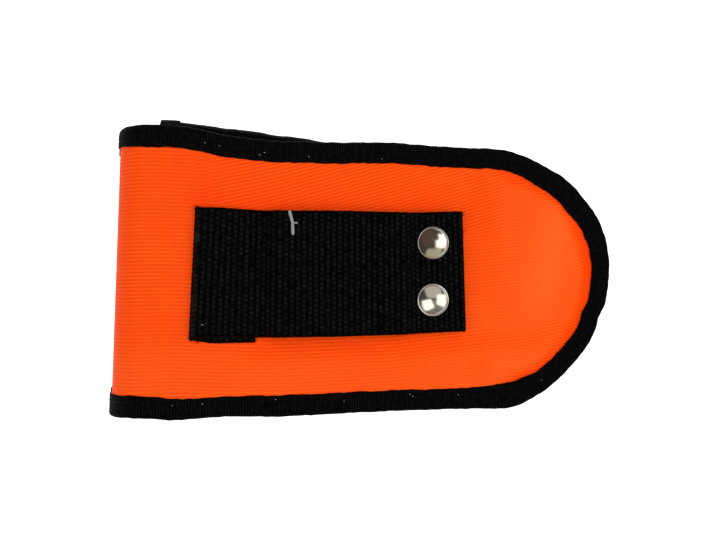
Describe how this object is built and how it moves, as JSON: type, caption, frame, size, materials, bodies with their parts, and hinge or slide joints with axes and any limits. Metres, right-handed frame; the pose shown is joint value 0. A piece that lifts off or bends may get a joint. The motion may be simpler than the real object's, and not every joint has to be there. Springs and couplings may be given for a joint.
{
  "type": "belt tool pouch",
  "caption": "Gusseted cloth tool pouch with a rounded bottom, bound edges, a wrap-over flap and a snap-fastened belt loop on its back.",
  "frame": {"origin": "middle of the box round the closed pouch, at the level of the surface that its flap lies on", "axes": "+X from the fold over the mouth towards the rounded tip, +Z out of the back and through the belt loop, +Y across the width"},
  "size_m": [0.213, 0.113, 0.0328],
  "materials": {
    "orange_cloth": "coated woven nylon, satin",
    "binding_tape": "ribbed grosgrain tape, matt",
    "black_webbing": "heavy nylon webbing, matt",
    "thread": "bonded sewing thread, satin",
    "touch_fastener": "hook and loop tape, matt",
    "nickel_plate": "nickel-plated, polished",
    "tag_nylon": "translucent nylon, satin"
  },
  "bodies": {
    "pouch": {"back_panel": "orange_cloth", "back_binding": "binding_tape", "back_seam": "thread", "gusset": "black_webbing", "front_panel": "orange_cloth", "front_binding": "binding_tape", "front_seam": "thread", "mouth_binding": "binding_tape", "loop_patch": "touch_fastener", "strap_anchor": "black_webbing", "anchor_stitching": "thread", "snap_studs": "nickel_plate", "snap_posts": "nickel_plate", "stud_patch": "black_webbing"},
    "fold": {"fold_panel": "orange_cloth", "fold_binding": "binding_tape"},
    "flap": {"flap_panel": "orange_cloth", "flap_binding": "binding_tape", "flap_seam": "thread", "hook_patch": "touch_fastener"},
    "belt_loop": {"belt_strap": "black_webbing", "snap_caps": "nickel_plate", "snap_sockets": "nickel_plate", "snap_springs": "nickel_plate", "tag_fastener": "tag_nylon"}
  },
  "joints": [
    {"name": "fold_turn", "type": "hinge", "parent": "pouch", "child": "fold", "pos_m": [-0.1026, 0, 0.0232], "axis": [0, 1, 0], "range_deg": [0, 90]},
    {"name": "flap_turn", "type": "hinge", "parent": "fold", "child": "flap", "pos_m": [-0.1026, 0, 0.0039], "axis": [0, 1, 0], "range_deg": [0, 90]},
    {"name": "loop_lift", "type": "hinge", "parent": "pouch", "child": "belt_loop", "pos_m": [-0.04929, 0, 0.02771], "axis": [0, -1, 0], "range_deg": [0, 120]}
  ],
  "couplings": [
    {"joint": "flap_turn", "follows": "fold_turn", "ratio": 1}
  ]
}
